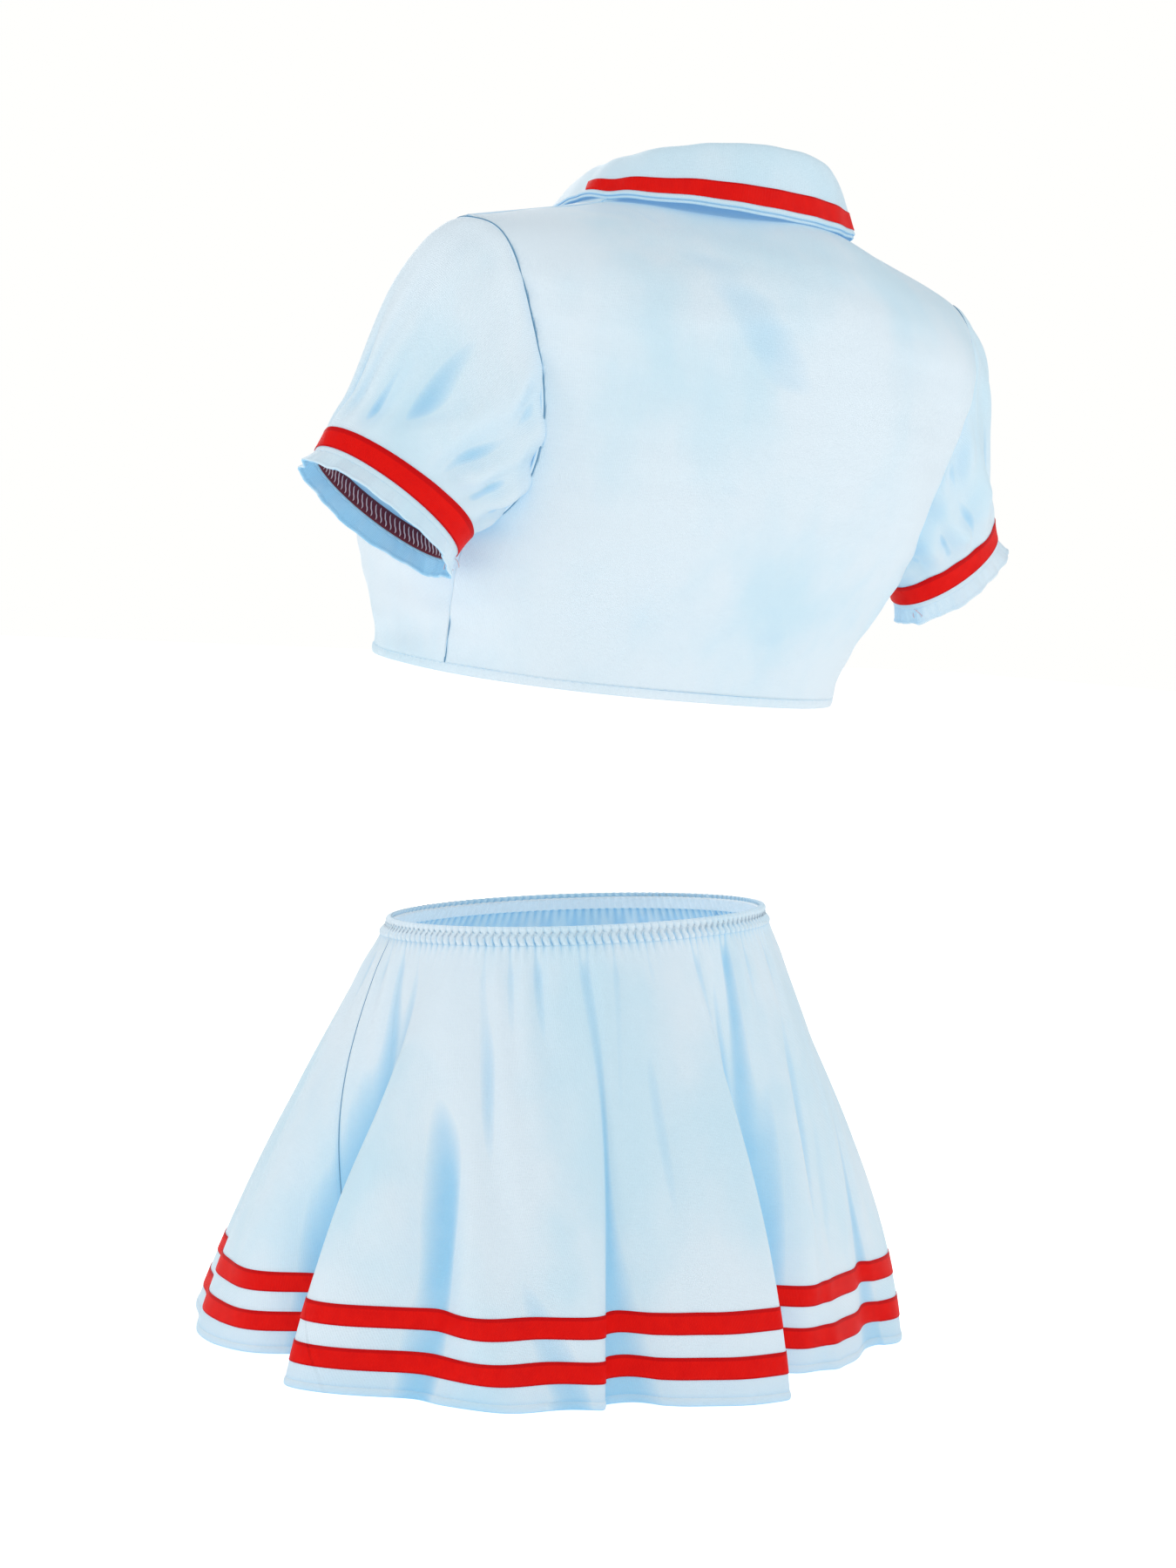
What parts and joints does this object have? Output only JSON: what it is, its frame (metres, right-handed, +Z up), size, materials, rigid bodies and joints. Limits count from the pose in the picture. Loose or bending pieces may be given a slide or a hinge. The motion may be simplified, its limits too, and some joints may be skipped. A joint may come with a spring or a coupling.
{
  "type": "cheer uniform",
  "caption": "Two-piece cheer uniform: cropped top with turned-down collar and short puff sleeves, and a flared pull-on skirt with ribbon stripes.",
  "frame": {"origin": "middle of the skirt's hem, on the plane the hem rests on", "axes": "+Z up, +X towards the wearer's left, the front faces -Y"},
  "size_m": [0.5213, 0.4228, 0.7064],
  "materials": {
    "knit": "smooth stretch knit, very pale blue",
    "ribbon": "red satin ribbon",
    "elastic": "white woven elastic",
    "interfacing": "white non-woven stiffener",
    "overlock": "dark red seam with pink overlock thread",
    "label": "blank white satin label",
    "tape": "pale twill tape"
  },
  "bodies": {
    "skirt_back": {"skirt_panel_back": "knit", "skirt_hem_back": "knit", "waist_casing_back": "knit", "waist_elastic_back": "elastic", "lower_stripe_back": "ribbon", "upper_stripe_back": "ribbon", "skirt_seam_left": "knit", "skirt_seam_right": "knit", "care_label": "label"},
    "skirt_front": {"skirt_panel_front": "knit", "skirt_hem_front": "knit", "waist_casing_front": "knit", "waist_elastic_front": "elastic", "lower_stripe_front": "ribbon", "upper_stripe_front": "ribbon"},
    "top": {"top_panel_back": "knit", "top_panel_front": "knit", "top_hem_back": "knit", "top_hem_front": "knit", "top_seam_left": "knit", "top_seam_right": "knit", "armhole_seam_left": "knit", "armhole_seam_right": "knit", "collar_under": "knit", "collar_interfacing": "interfacing", "collar_upper": "knit", "collar_stripe": "ribbon", "neck_tape": "tape", "size_label": "label", "shoulder_tape_left": "tape", "shoulder_tape_right": "tape"},
    "sleeve_left": {"sleeve_left": "knit", "sleeve_stripe_left": "ribbon", "sleeve_overlock_left": "overlock", "sleeve_frill_left": "knit", "sleeve_seam_left": "knit"},
    "sleeve_right": {"sleeve_right": "knit", "sleeve_stripe_right": "ribbon", "sleeve_overlock_right": "overlock", "sleeve_frill_right": "knit", "sleeve_seam_right": "knit"}
  },
  "joints": [
    {"name": "waist_stretch", "type": "slide", "parent": "skirt_back", "child": "skirt_front", "axis": [0, -1, 0], "range_m": [0, 0.04], "stiffness_N_per_m": 120},
    {"name": "top_lift", "type": "slide", "parent": "skirt_back", "child": "top", "axis": [0, 0, 1], "range_m": [0, 0.15]},
    {"name": "sleeve_left_raise", "type": "hinge", "parent": "top", "child": "sleeve_left", "pos_m": [0.17521, 0.09274, 0.65026], "axis": [-0.003, -0.9962, 0.0871], "range_deg": [0, 25]},
    {"name": "sleeve_right_raise", "type": "hinge", "parent": "top", "child": "sleeve_right", "pos_m": [-0.19239, 0.09274, 0.63742], "axis": [0.003, 0.9962, -0.0871], "range_deg": [0, 25]}
  ]
}
